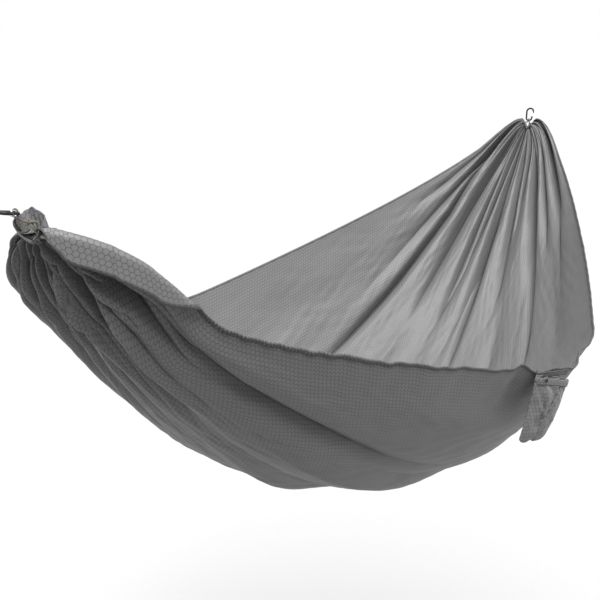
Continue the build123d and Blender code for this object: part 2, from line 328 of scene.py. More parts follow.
def fold_heights(u, v, scale):
    """Every fold of the bed cloth as one height along the normal, positive towards the inside."""
    height = np.zeros_like(u)
    for path, depth, width in HEAD_VALLEYS:
        run = 1 - path[0][0]
        near_end = 0.06 + 0.94 * smooth((1 - u) / 0.045)
        thin = width * (0.55 + 1.1 * (1 - u) / run)
        path = path + [(1.05, path[-1][1])]
        height -= fold(u, v, scale, path, depth, thin, 0.6 * run, 0.01) * near_end
    for path, depth, width in FOOT_FOLDS:
        run = path[-1][0]
        near_end = 0.30 + 0.70 * smooth(u / 0.04)
        thin = width * (0.5 + 0.9 * u / run)
        path = [(-0.05, path[0][1])] + path
        height += fold(u, v, scale, path, depth, thin, 0.01, 0.6 * run) * near_end
    for path, depth, width in LONG_WAVES:
        run = path[-1][0] - path[0][0]
        height += fold(u, v, scale, path, depth, width, 0.5 * run, 0.5 * run)
    distance = {"foot": u * SPAN, "head": (1 - u) * SPAN}
    for end, *rest in GORES:
        height += gores(v, distance[end], *rest)
    height += pleats(v, scale, distance["head"], 7, 14, 0.012, 0.30)
    middle = smooth(np.minimum(u, 1 - u) / 0.2)
    height += 0.0016 * middle * soft_noise(u, v, 5, 22, 8, 6)
    puff = np.abs(soft_noise(u, v, 7, 22, 40, 8.0)) ** 0.55
    fade = bell(distance["foot"] / PUFF_REACH) * smooth(distance["foot"] / 0.02)
    height -= PUFF_DEPTH * fade * (puff - 0.6)
    rim = bell((1 + v) / 0.07) * smooth((u - 0.16) / 0.08)
    height += 0.0028 * rim * soft_noise(u, v, 8, 18, 30, 5)
    height += 0.0007 * soft_noise(u, v, 6, 30, 34, 26)
    return height


# ---- bed cloth ----
FLAP_WIDTH = 0.062       # how much cloth is folded out beside the foot end
FLAP_RADIUS = 0.009      # of the turn at its fold line
FLAP_START, FLAP_STOP = math.radians(70), math.radians(-86)


def flap_share(u):
    """The share of v that is folded outwards over the near edge, by station."""
    width = FLAP_WIDTH * smooth((u - 0.0005) / 0.024) * (1 - smooth((u - 0.052) / 0.040))
    return width / (CLOTH_WIDTH / 2)


def flap_points(fold_line, along, distance):
    """Cloth turned over the fold line: up, round, then down and outwards, by distance from it."""
    up = np.array([0.0, 0.0, 1.0])
    out = unit(np.cross(along, up))
    out = np.where(out[..., 1:2] > 0, -out, out)
    full = FLAP_START - FLAP_STOP
    angle = FLAP_START - np.clip(distance / FLAP_RADIUS, 0, full)
    rest = np.maximum(distance - FLAP_RADIUS * full, 0)
    reach_out = FLAP_RADIUS * (math.sin(FLAP_START) - np.sin(angle)) + rest * math.cos(FLAP_STOP)
    reach_up = FLAP_RADIUS * (np.cos(angle) - math.cos(FLAP_START)) + rest * math.sin(FLAP_STOP)
    return fold_line + reach_out[..., None] * out + reach_up[..., None] * up


def bed_grid():
    """The bed cloth's grid: u, v and the points."""
    s = np.linspace(0, 1, ROWS)
    u_row = s - END_CROWDING * np.sin(TURN * s) / TURN
    v_row = np.linspace(-1, 1, COLUMNS)
    u, v = np.meshgrid(u_row, v_row, indexing="ij")
    share = flap_share(u)
    inner = np.maximum(v, -1 + share)
    v_base = -1 + 2 * (inner - (-1 + share)) / (2 - share)
    plain = gathered(u, v)
    normal = normals_of(plain)
    scale = np.broadcast_to(distances(plain, 1)[:, -1:] / 2, u.shape)
    height = fold_heights(u, v, scale)
    calmer = EDGE_CALM * (bell((1 + v) / 0.10) + bell((1 - v) / 0.08))
    gentle = smooth(np.minimum(u, 1 - u) / 0.06)
    height *= 1 - calmer * gentle
    points = gathered(u, v_base) + normal * height[..., None]
    # the flap, turned over the fold line
    on_flap = v < -1 + share
    turn_v = -1 + share[:, :1]
    column = np.argmax(~on_flap, axis=1)
    rise = fold_heights(u[:, :1], turn_v, scale[:, :1]) * (1 - EDGE_CALM * gentle[:, :1])
    line = gathered(u[:, :1], -np.ones_like(turn_v))[:, 0]
    line = line + normal[np.arange(ROWS), column] * rise * smooth(u[:, :1] / 0.05)
    along = np.gradient(line, axis=0)
    line, along = (np.broadcast_to(a[:, None], points.shape) for a in (line, along))
    distance = (-1 + share - v) * CLOTH_WIDTH / 2
    turned = flap_points(line, along, np.maximum(distance, 0))
    turned[..., 2] += 0.0015 * soft_noise(u, v, 21, 12, 30, 8) * smooth(distance / 0.02)
    points = np.where(on_flap[..., None], turned, points)
    return u, v, points


def flat_places(points):
    """Where each grid point lies on the flat cloth, in metres, measured along the folded surface."""
    along, across = distances(points, 0), distances(points, 1)
    along = along - along[ROWS // 2]
    along = (along + along.mean(axis=1, keepdims=True)) / 2
    total = across[:, -1:]
    # the width that the section lacks is skipped: at one line by the foot, spread out by the head
    head_half = smooth((np.linspace(-1, 1, ROWS)[:, None] + 0.1) / 0.5)
    centre, spread = 0.60 - 0.10 * head_half, 0.012 + 0.50 * head_half
    skipped = (CLOTH_WIDTH - total) * smooth((across / total - centre) / spread + 0.5)
    return np.stack([along, across + skipped], -1)


def linked(name, mesh):
    """A new object of the scene with this mesh, shaded smooth."""
    mesh.shade_smooth()
    item = bpy.data.objects.new(name, mesh)
    bpy.context.scene.collection.objects.link(item)
    return item


def grid_mesh(name, points, places, wrap=False):
    """A quad mesh over a grid of points. Its UV map holds places in the flat cloth or on a tube."""
    rows, columns = points.shape[:2]
    index = np.arange(rows * columns).reshape(rows, columns)
    if wrap:
        index = np.hstack([index, index[:, :1]])
    a, b = index[:-1, :-1], index[:-1, 1:]
    c, d = index[1:, 1:], index[1:, :-1]
    faces = np.stack([a, d, c, b], -1).reshape(-1, 4)
    mesh = bpy.data.meshes.new(name)
    mesh.from_pydata(points.reshape(-1, 3).tolist(), [], faces.tolist())
    uv = mesh.uv_layers.new(name="flat")
    loop_vertex = np.zeros(len(mesh.loops), np.int32)
    mesh.loops.foreach_get("vertex_index", loop_vertex)
    uv.data.foreach_set("uv", places.reshape(-1, 2)[loop_vertex].astype(np.float32).ravel())
    mesh.validate()
    return linked(name, mesh)


def cloth_piece(name, points, places, thickness, material, slot, *nodes, body="hammock", wrap=False):
    """A sheet with its thickness, finished as a piece."""
    piece = grid_mesh(name, points, places, wrap)
    modifier = piece.modifiers.new("thickness", "SOLIDIFY")
    modifier.thickness = thickness
    modifier.offset = 0
    depsgraph = bpy.context.evaluated_depsgraph_get()
    mesh = bpy.data.meshes.new_from_object(piece.evaluated_get(depsgraph))
    piece.modifiers.clear()
    piece.data = mesh
    return finish_piece(piece, material, slot, *nodes, body=body)


def finish_piece(piece, material, slot, *nodes, body="hammock"):
    """Give a piece its material and body, and hide the CAD nodes that it replaces. slot is not used."""
    piece.data.materials.clear()
    piece.data.materials.append(material)
    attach(piece, body)
    if nodes:
        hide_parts(*nodes)
    return piece


# ---- materials ----
OUTLINE_FROM, OUTLINE_TO = 0.425, 0.482    # where a cell's outline starts and is full, in cells
WEAVE = 0.0011                             # one repeat of the plain weave


def node(tree, kind, inputs=None, **settings):
    """A shader node with its settings, and a value or a link for each of the inputs named."""
    made = tree.nodes.new("ShaderNode" + kind)
    for key, value in settings.items():
        setattr(made, key, value)
    for key, value in (inputs or {}).items():
        if isinstance(value, bpy.types.NodeSocket):
            tree.links.new(value, made.inputs[key])
        else:
            made.inputs[key].default_value = value
    return made


def new_material(name):
    material = bpy.data.materials.new(name)
    material.use_nodes = True
    material.node_tree.nodes.clear()
    return material, material.node_tree


def surface(material, inputs):
    """The material, finished with one shader."""
    tree = material.node_tree
    node(tree, "OutputMaterial", {0: node(tree, "BsdfPrincipled", inputs).outputs[0]})
    return material


def maths(tree, operation, *values):
    return node(tree, "Math", dict(enumerate(values)), operation=operation).outputs[0]


def ranged(tree, value, inputs, interpolation="LINEAR"):
    return node(tree, "MapRange", {"Value": value, **inputs}, interpolation_type=interpolation).outputs[0]


def noise(tree, where, scale, detail=3.0, rough=0.5):
    inputs = {"Vector": where, "Scale": scale, "Detail": detail, "Roughness": rough}
    return node(tree, "TexNoise", inputs).outputs["Fac"]


def bump(tree, height, strength, distance, under=None):
    """A bump from a height, over another bump if there is one."""
    inputs = {"Height": height, "Strength": strength, "Distance": distance}
    if under:
        inputs["Normal"] = under
    return node(tree, "Bump", inputs).outputs[0]


def mixed(tree, share, one, other):
    """One colour, or the other where share is 1."""
    inputs = {"Factor": share, "A": (*one, 1), "B": (*other, 1)}
    return node(tree, "Mix", inputs, data_type="RGBA").outputs["Result"]


def scaled(tree, colour, amount):
    return node(tree, "VectorMath", {0: colour, "Scale": amount}, operation="SCALE").outputs[0]


def ramp_node(tree, value, stops):
    """A colour ramp over a 0 to 1 value."""
    ramp = node(tree, "ValToRGB", {0: value})
    while len(ramp.color_ramp.elements) < len(stops):
        ramp.color_ramp.elements.new(0.5)
    for element, (place, colour) in zip(ramp.color_ramp.elements, stops):
        element.position = place
        element.color = (*colour, 1)
    return ramp.outputs[0]


def flat_place(tree):
    """Where a point is in the UV map, whole and by its two parts."""
    place = node(tree, "UVMap", uv_map="flat").outputs[0]
    split = node(tree, "SeparateXYZ", {0: place})
    return place, split.outputs[0], split.outputs[1]


def hexagon_distance(tree, x, y):
    """How far a point is from its honeycomb cell's centre, 0 to 0.5 at the outline, all in cells.

    Two offset grids of centres are compared, and the nearer one wins."""
    root3 = math.sqrt(3)
    found = []
    for shift_x, shift_y in ((0.0, 0.0), (0.5, root3 / 2)):
        px = maths(tree, "FLOORED_MODULO", maths(tree, "ADD", x, shift_x), 1.0)
        py = maths(tree, "FLOORED_MODULO", maths(tree, "ADD", y, shift_y), root3)
        px = maths(tree, "ABSOLUTE", maths(tree, "SUBTRACT", px, 0.5))
        py = maths(tree, "ABSOLUTE", maths(tree, "SUBTRACT", py, root3 / 2))
        half, high = maths(tree, "MULTIPLY", px, 0.5), maths(tree, "MULTIPLY", py, root3 / 2)
        found.append(maths(tree, "MAXIMUM", px, maths(tree, "ADD", half, high)))
    return maths(tree, "MINIMUM", *found)


def cloth_material(name, tone, outline, roughness=0.5):
    """Honeycomb ripstop: paler cells, darker cell outlines, painted shade in the creases and a fine plain
    weave.
    """
    material, tree = new_material(name)
    place, x, y = flat_place(tree)
    away = hexagon_distance(tree, maths(tree, "DIVIDE", x, CELL), maths(tree, "DIVIDE", y, CELL))
    edge = ranged(tree, away, {"From Min": OUTLINE_FROM, "From Max": OUTLINE_TO}, "SMOOTHSTEP")
    shade = ranged(tree, noise(tree, place, 5.0), {"To Min": 0.93, "To Max": 1.07})
    # painted shade: the colour is darkened where the surface is hollow, in the creases, for the shade that
    # falls there
    painted_crease_shade = ranged(tree, node(tree, "NewGeometry").outputs["Pointiness"],
                        {"From Min": 0.455, "From Max": 0.495, "To Min": 0.30})
    tint = scaled(tree, mixed(tree, edge, tone, outline), maths(tree, "MULTIPLY", shade, painted_crease_shade))
    # fine weave: warp and weft ribs, with the cell outlines raised over them
    ribs = [maths(tree, "SINE", maths(tree, "MULTIPLY", way, TURN / WEAVE)) for way in (x, y)]
    weave = maths(tree, "MULTIPLY", maths(tree, "MULTIPLY", *ribs), 0.16)
    crumple = bump(tree, noise(tree, place, 24.0, 4.0, 0.55), 0.10, 0.004)
    return surface(material, {
        "Base Color": tint,
        "Normal": bump(tree, maths(tree, "MULTIPLY_ADD", edge, 0.8, weave), 0.35, 0.0004, crumple),
        "Roughness": maths(tree, "MULTIPLY_ADD", edge, 0.10, roughness),
        "Specular IOR Level": 0.22,
        "Sheen Weight": 0.05,
        "Sheen Roughness": 0.45,
    })


def cord_material(name, main, tracer):
    """Braided cord: strands wind both ways round it, with one tracer strand, and painted shade darkens it
    between the strands.

    Its UV map holds the distance along the cord and the angle round it."""
    material, tree = new_material(name)
    _, along, angle = flat_place(tree)
    run = maths(tree, "MULTIPLY", along, TURN / CORD_LAY)
    around = maths(tree, "MULTIPLY", angle, STRANDS)
    strands = maths(tree, "MAXIMUM", *(
        maths(tree, "SINE", maths(tree, way, around, run)) for way in ("ADD", "SUBTRACT")))
    mark = maths(tree, "SINE", maths(tree, "ADD", angle, maths(tree, "MULTIPLY", run, 0.5)))
    mix = mixed(tree, maths(tree, "GREATER_THAN", mark, 0.86), main, tracer)
    fuzz = noise(tree, node(tree, "TexCoord").outputs["Object"], 2400)
    return surface(material, {
        # painted shade: the colour is darker between the raised strands
        "Base Color": scaled(tree, mix, maths(tree, "MULTIPLY_ADD", strands, 0.28, 0.78)),
        "Normal": bump(tree, maths(tree, "MULTIPLY_ADD", fuzz, 0.35, strands), 0.6, 0.0004),
        "Roughness": 0.72,
        "Sheen Weight": 0.3,
    })


def metal_material(name, colour, worn, roughness, wear, metallic):
    """Metal with fine drawing marks, faint smudges and small scuffs where it has rubbed."""
    material, tree = new_material(name)
    place = node(tree, "TexCoord").outputs["Object"]
    scuffs = [(0.0, (0, 0, 0)), (wear, (0, 0, 0)), (wear + 0.1, (1, 1, 1))]
    edges = ramp_node(tree, noise(tree, place, 260, 4.0), scuffs)
    return surface(material, {
        "Base Color": mixed(tree, edges, colour, worn),
        "Normal": bump(tree, noise(tree, place, 900, 5.0, 0.7), 0.12, 0.0002),
        "Roughness": maths(tree, "MULTIPLY_ADD", noise(tree, place, 120), 0.18, roughness - 0.09),
        "Metallic": metallic,
        "Specular IOR Level": 0.12,
    })


def thread_material(name, colour):
    """Twisted sewing thread, with painted shade darkening the grooves of its twist."""
    material, tree = new_material(name)
    inputs = {"Vector": node(tree, "TexCoord").outputs["Object"], "Scale": 900, "Distortion": 1.5}
    wave = node(tree, "TexWave", inputs).outputs["Fac"]
    return surface(material, {
        # painted shade: the colour is darker in the twist's grooves, where the bump is low
        "Base Color": ramp_node(tree, wave, [(0.0, tuple(0.6 * c for c in colour)), (1.0, colour)]),
        "Normal": bump(tree, wave, 0.5, 0.0003),
        "Roughness": 0.75,
        "Specular IOR Level": 0.2,
    })


RIPSTOP = cloth_material("ripstop_cloth", (0.078, 0.078, 0.079), (0.026, 0.026, 0.027))
# the near hem's copy is painted darker, as painted shade for its puckered roll; the far hem's copy keeps near
# the cloth's own tone
HEM_CLOTH = cloth_material("hem_cloth", (0.034, 0.034, 0.035), (0.012, 0.012, 0.013), 0.55)
FAR_HEM_CLOTH = cloth_material("far_hem_cloth", (0.070, 0.070, 0.071), (0.024, 0.024, 0.025), 0.55)
BAND_CLOTH = cloth_material("band_cloth", (0.074, 0.074, 0.075), (0.026, 0.026, 0.027))
THREAD = thread_material("dark_thread", (0.045, 0.045, 0.047))
OLIVE_CORD = cord_material("olive_cord", (0.042, 0.034, 0.012), (0.012, 0.011, 0.009))
BLACK_ALLOY = metal_material("black_alloy", (0.010, 0.010, 0.011), (0.20, 0.20, 0.22), 0.30, 0.66, 0.0)
STEEL_WIRE = metal_material("steel_wire", (0.72, 0.74, 0.76), (0.85, 0.86, 0.88), 0.22, 0.58, 1.0)


# ---- lines and tubes ----
def along_line(points, step):
    """Points evenly spaced along a line of points, and the distance of each from its start."""
    points = np.asarray(points, float)
    length = distances(points)
    count = max(int(length[-1] / step), 2) + 1
    at = np.linspace(0, length[-1], count)
    return np.stack([np.interp(at, length, points[:, k]) for k in range(3)], -1), at


def nurbs_line(points, step):
    """Evenly spaced points on the smooth curve whose control points are given."""
    curve = bpy.data.curves.new("route", "CURVE")
    curve.dimensions = "3D"
    curve.resolution_u = 16
    spline = curve.splines.new("NURBS")
    spline.points.add(len(points) - 1)
    for point, co in zip(spline.points, points):
        point.co = (*co, 1)
    spline.order_u = 3
    spline.use_endpoint_u = True
    item = bpy.data.objects.new("route", curve)
    bpy.context.scene.collection.objects.link(item)
    bpy.context.view_layer.update()
    mesh = bpy.data.meshes.new_from_object(item)
    line = np.array([v.co for v in mesh.vertices])
    bpy.data.objects.remove(item)
    bpy.data.curves.remove(curve)
    bpy.data.meshes.remove(mesh)
    return along_line(line, step)


def frames_along(line):
    """Two unit normals at each point, turning as little as they can."""
    tangent = tangents(line)
    side = [unit(np.cross(tangent[0], [0.3, 0.2, 1.0]))]
    for t in tangent[1:]:
        side.append(unit(side[-1] - t * np.dot(side[-1], t)))
    side = np.array(side)
    return side, np.cross(tangent, side)


def tube(name, line, at, radius, sides):
    """A round, closed tube along a line. radius is a number or a function of distance and angle."""
    side, other = frames_along(line)
    angle = angles(sides)
    r = radius(at[:, None], angle[None, :]) if callable(radius) else np.full((len(line), sides), radius)
    ring = np.cos(angle)[:, None] * side[:, None] + np.sin(angle)[:, None] * other[:, None]
    points = line[:, None] + ring * r[..., None]
    return capped(grid_mesh(name, points, pairs(at, angle), wrap=True))


def capped(piece):
    """The tube with a face over each open end."""
    work = bmesh.new()
    work.from_mesh(piece.data)
    open_edges = [edge for edge in work.edges if edge.is_boundary]
    bmesh.ops.holes_fill(work, edges=open_edges, sides=0)
    bmesh.ops.recalc_face_normals(work, faces=work.faces)
    work.to_mesh(piece.data)
    work.free()
    return piece


def joined(name, pieces):
    """One object from several, in order."""
    work = bmesh.new()
    for piece in pieces:
        work.from_mesh(piece.data)
    mesh = bpy.data.meshes.new(name)
    work.to_mesh(mesh)
    work.free()
    for piece in pieces:
        bpy.data.objects.remove(piece)
    return linked(name, mesh)


# ---- hems ----
HEM_WIDTH, HEM_DEPTH = 0.0058, 0.0030
HEM_STEP = 0.0012        # from one ring of its mesh to the next
HEM_SET_IN = 0.55        # the hem's middle stands in from the rim, in widths
TACK_ROW = 8             # how many rows in from each end the tacks sit
TACK_SIZE = 0.62         # the hem's girth there, as a share of its full girth
TACK_STROKES, TACK_LENGTH = 14, 0.006
PUCKER = 0.0074          # from one pucker of the hem to the next
STITCH_RADIUS = 0.00034
STITCH_SUNK = 0.93       # a stitch's middle, as a share of the way from the seam's core to its face
END_SEAM = 0.036         # u of the seam where each end's doubled cloth stops


def hem(name, rim, inner, cad_node, strength, seed, cloth, size=1.0):
    """A rolled, stitched hem along the cloth's edge, puckered by its thread."""
    line, at = along_line(rim, HEM_STEP)
    toward, _ = along_line(inner, HEM_STEP)
    toward = toward[(np.arange(len(line)) * len(toward) / len(line)).astype(int)]
    tangent = tangents(line)
    inward = toward - line
    inward -= tangent * (inward * tangent).sum(1, keepdims=True)
    # averaged, so that the hem doesn't twist with every fold
    kernel = np.ones(25) / 25
    padded = np.pad(inward, ((12, 12), (0, 0)), mode="edge")
    inward = unit(np.stack([np.convolve(padded[:, k], kernel, "valid") for k in range(3)], -1))
    proud = np.cross(tangent, inward)
    draw = np.random.default_rng(seed)
    drift = np.cumsum(draw.normal(0, 0.05, len(line)))
    phase = TURN * at / PUCKER + drift
    amount = strength(at / at[-1])
    wave = np.sin(phase) * amount
    bead = 1 + amount * (0.45 * np.abs(np.sin(phase / 2)) ** 0.7 - 0.30)
    slow = np.sin(TURN * at / 0.047 + 1.7 * drift) * amount
    size = size * (0.55 + 0.45 * np.minimum(amount, 1))
    width, depth = HEM_WIDTH * size, HEM_DEPTH * size
    centre = line + inward * (width * HEM_SET_IN + 0.0008 * wave)[:, None]
    centre += proud * (0.0008 * wave + 0.0012 * slow)[:, None]
    angle = angles(12)
    across = (width * (0.5 + 0.5 * bead))[:, None] * np.cos(angle)
    through = (depth * bead)[:, None] * np.sin(angle)
    points = centre[:, None] + inward[:, None] * across[..., None] + proud[:, None] * through[..., None]
    places = pairs(at, HEM_WIDTH * 2 * np.abs(angle / math.pi - 1))
    piece = capped(grid_mesh(name, points, places, wrap=True))
    finish_piece(piece, cloth, "hem_cloth", cad_node)
    stitches(name + "_stitches", centre + inward * (width * 0.35)[:, None], tangent, proud, bead * depth)


def stitches(name, line, tangent, proud, height, spacing=3, body="hammock", length=0.0015):
    """A row of short thread stitches on both faces of a seam, each pointed at its ends."""
    faces, vertices = [], []
    for i in range(spacing, len(line) - spacing, spacing):
        for side in (-1, 1):
            c = line[i] + proud[i] * side * (height[i] * STITCH_SUNK)
            t = tangent[i] * length
            w = np.cross(tangent[i], proud[i]) * STITCH_RADIUS
            n = proud[i] * side * STITCH_RADIUS
            first = len(vertices)
            vertices += [c - t, *(c - t * 0.5 + d for d in (w, n, -w, -n))]
            vertices += [*(c + t * 0.5 + d for d in (w, n, -w, -n)), c + t]
            for k in range(4):
                a, b = first + 1 + k, first + 1 + (k + 1) % 4
                faces += [(first, b, a), (a, b, b + 4, a + 4), (a + 4, b + 4, first + 9)]
    mesh = bpy.data.meshes.new(name)
    mesh.from_pydata([tuple(v) for v in vertices], [], faces)
    finish_piece(linked(name, mesh), THREAD, "thread", body=body)


def end_seams(u, points):
    """The row of stitches along the inner edge of the doubled cloth at each end."""
    normal = normals_of(points)
    for name, at in (("foot", END_SEAM), ("head", 1 - END_SEAM)):
        row = np.abs(u[:, 0] - at).argmin()
        line, _ = along_line(points[row, 3:-3], 0.0016)
        known = normal[row, 3:-3]
        share, known_share = (np.linspace(0, 1, len(a)) for a in (line, known))
        proud = unit(np.stack([np.interp(share, known_share, known[:, k]) for k in range(3)], -1))
        stitches(f"{name}_seam_stitches", line, tangents(line), proud, np.full(len(line), 0.0005), 2)


def hem_tacks(points):
    """A short zigzag of dense stitching round each hem where it ends."""
    parts = []
    width, depth = HEM_WIDTH * TACK_SIZE, HEM_DEPTH * TACK_SIZE
    step = np.arange(TACK_STROKES * 4 + 1)
    turn = math.pi * (0.12 + 0.76 * np.abs((step / 4) % 2 - 1))
    for row, way in ((TACK_ROW, 1), (ROWS - TACK_ROW, -1)):
        for column, inner in ((0, 5), (COLUMNS - 1, COLUMNS - 6)):
            start = points[row, column]
            along = unit(points[row + 4 * way, column] - start)
            across = unit(points[row, inner] - start)
            proud = np.cross(along, across)
            line = np.concatenate([
                start + along * (TACK_LENGTH * step / step[-1])[:, None] +
                across * (width * (HEM_SET_IN + np.cos(turn)))[:, None] +
                proud * (depth * side * np.sin(turn))[:, None] for side in (-1, 1)])
            line, at = along_line(line, 0.0006)
            parts.append(tube("tack", line, at, 0.0004, sides=6))
    finish_piece(joined("hem_tacks", parts), THREAD, "thread", "hem_bar_tacks")


def near_hem_strength(share):
    """Plain on the folded-out lip, strongest just past it, gentle beyond the middle."""
    strong = 0.30 + 0.75 * bell((share - 0.19) / 0.13)
    return strong * smooth((share - 0.07) / 0.05)


# ---- cord loops, channels and knots ----
KNOT_AT = {"foot": -0.75, "head": -0.52}   # where on the bend each loop's ends are knotted
KNOT_SIZE = 0.00165


def loop_route(gather):
    """The cord loop's corners: over the carabiner's bend, and through the channel."""
    wrap = 0.0048            # how far the cord's middle stands off the carabiner's
    over = [
        (-0.004, -0.005, -wrap - 0.0012),
        (0.0, wrap + 0.0001, -wrap - 0.0008),
        (0.0, wrap + 0.0001, wrap + 0.0008),
        (0.004, -0.005, wrap + 0.0012),
    ]
    inside = gather.bend(np.linspace(0.75, KNOT_AT[gather.name], 13))
    return [inside[-1]] + [gather.place(*corner) for corner in over] + list(inside)


def braid(at, angle):
    """The radius of a braided cord: raised strands winding both ways."""
    turn = TURN * at / CORD_LAY
    one, other = np.sin(STRANDS * angle + turn), np.sin(STRANDS * angle - turn)
    return CORD_RADIUS * (0.95 + 0.10 * np.maximum(one, other))


def cord_loop(gather):
    """The loop of cord between the carabiner and the gathered cloth."""
    line, at = nurbs_line(loop_route(gather), 0.00035)
    piece = tube(f"{gather.name}_cord", line, at, braid, sides=24)
    finish_piece(piece, OLIVE_CORD, "cord", f"{gather.name}_cord_loop")


def knot(gather):
    """The knot that joins the loop's ends: the cord wound through itself, with two short tails."""
    t = np.linspace(0, TURN, 90)
    trefoil = [np.sin(t) + 2 * np.sin(2 * t), np.cos(t) - 2 * np.cos(2 * t), -1.5 * np.sin(3 * t)]
    centre = gather.bend(np.array(KNOT_AT[gather.name]))
    place = np.stack([gather.across, gather.up, np.cross(gather.across, gather.up)])
    line, at = along_line(centre + np.stack(trefoil, -1) * KNOT_SIZE @ place, 0.0005)
    parts = [tube("turns", line, at, braid, sides=14)]
    for side, drop in ((-1, -0.006), (1, -0.003)):
        tail = [(0, 0, 0), (-0.003, 0.001, 0.003 * side), (-0.006, drop * 0.5, 0.005 * side),
                (-0.008, drop * 1.4, 0.006 * side)]
        line, at = nurbs_line(centre + np.array(tail) @ place, 0.0005)
        parts.append(tube("tail", line, at, braid, sides=14))
    piece = joined(f"{gather.name}_knot", parts)
    finish_piece(piece, OLIVE_CORD, "cord", f"{gather.name}_loop_knot")


def channel(gather, radius, count, seed, span):
    """The sewn channel, bunched up on the cord's bend in uneven ruffles."""
    line, at = along_line(gather.bend(np.linspace(-0.62 * span, span, 420)), 0.00025)
    draw = np.random.default_rng(seed)
    centres = np.linspace(0, at[-1], count) + draw.uniform(-0.3, 0.3, count) * at[-1] / count
    depths = draw.uniform(0.55, 1.15, count)
    twist = draw.uniform(-0.5, 0.5, count)

    def ruffles(at, angle):
        r = radius * (1 + 0.10 * np.sin(2 * angle + 3 * at / radius))
        for centre, depth, lean in zip(centres, depths, twist):
            d = (at - centre - lean * 0.002 * np.sin(angle + 3 * lean)) / (at[-1, 0] / count * 0.30)
            r = r - radius * 0.34 * depth * bell(d, 1.3)
        return r

    piece = tube(f"{gather.name}_channel", line, at, ruffles, sides=44)
    finish_piece(piece, RIPSTOP, "ripstop_cloth", f"{gather.name}_end_sleeve")


FRILL_TOP = np.array([0.0127, -0.0071, 0.0037])      # the middle of the frill's upper edge
FRILL_SIDE = np.array([0.5, -0.866, 0.0])            # the way its width lies
FRILL_REACH = np.array([0.045, 0.031, 0.012, 0.041, 0.045])     # its height at each quarter turn


def frill(gather):
    """The channel's spare cloth, standing up like a collar behind the foot loop."""
    base = gather.place(0.0, -LOOP_DROP)
    axis = unit(FRILL_TOP - base)
    rear = np.cross(axis, FRILL_SIDE)
    side = np.cross(rear, axis)
    share, angle = np.meshgrid(np.linspace(0, 1, 44), angles(200), indexing="ij")
    quarter = np.degrees(angle) / 90
    low, high = (FRILL_REACH[np.floor(quarter).astype(int) + k] for k in (0, 1))
    reach = low + (high - low) * smooth(quarter % 1)
    reach = reach + 0.0012 * np.sin(5 * angle + 1) + 0.0008 * np.sin(11 * angle)
    ruffle = 0.0024 * (1 - share) ** 1.6 * np.sin(15 * angle + 2 * np.sin(2 * angle))
    ruffle = ruffle + 0.0012 * np.sin(4 * angle + 3 * share)
    wide = 0.009 + 0.014 * smooth(share / 0.50) + ruffle
    deep = 0.006 + 0.020 * share + ruffle
    points = base + (share * reach)[..., None] * axis
    points = points + (np.sin(angle) * wide)[..., None] * side + (np.cos(angle) * deep)[..., None] * rear
    places = np.stack([share * reach, angle * 0.024], -1)
    name = f"{gather.name}_frill"
    cloth_piece(name, points, places, CLOTH_THICKNESS, RIPSTOP, "ripstop_cloth", wrap=True)


# ---- stuff sack ----
SACK_FROM, SACK_TO = 0.40, 0.455     # u of the two ends of its sewn line
SACK_STANDOFF = 0.005
SACK_LEAN = math.radians(7.4)
SACK_WIDTH_TOP, SACK_WIDTH_BOTTOM, SACK_DRIFT = 0.130, 0.108, -0.004
SACK_HEIGHT, SACK_MOUTH, SACK_DEPTH = 0.155, 0.020, 0.022
MOUTH_SAG = 0.017        # at the head end of the mouth
PANEL_THICKNESS, BAND_THICKNESS, STRIP_THICKNESS = 0.0007, 0.0016, 0.0010
BAND_HEIGHT, BAND_TOP = 0.010, 0.005         # the CAD band's height, and how far this one stands above it
STRIP_INSET = 0.004
PANEL_SHIFT = 0.31       # of the panels' weave


class SackFrame:
    """Local X along the near edge, Y up and Z outwards, from the sewn line's foot end."""

    def __init__(self):
        start, end = (hung(np.array([u]), np.array([-1.0]))[0] for u in (SACK_FROM, SACK_TO))
        x = unit(end - start)
        z = unit(np.array([x[1], -x[0], 0.0]))
        y = np.cross(z, x)
        self.origin = start + z * SACK_STANDOFF
        self.x = x
        self.y = y * math.cos(SACK_LEAN) + z * math.sin(SACK_LEAN)
        self.z = z * math.cos(SACK_LEAN) - y * math.sin(SACK_LEAN)

    def place(self, x, y, z):
        """Points of the world by their distances in this frame."""
        x, y, z = (np.asarray(a, float)[..., None] for a in (x, y, z))
        return self.origin + x * self.x + y * self.y + z * self.z


def mouth_sag(across):
    """How far the mouth hangs down, more towards the head end."""
    return MOUTH_SAG * np.clip(across, 0, 1) ** 1.4


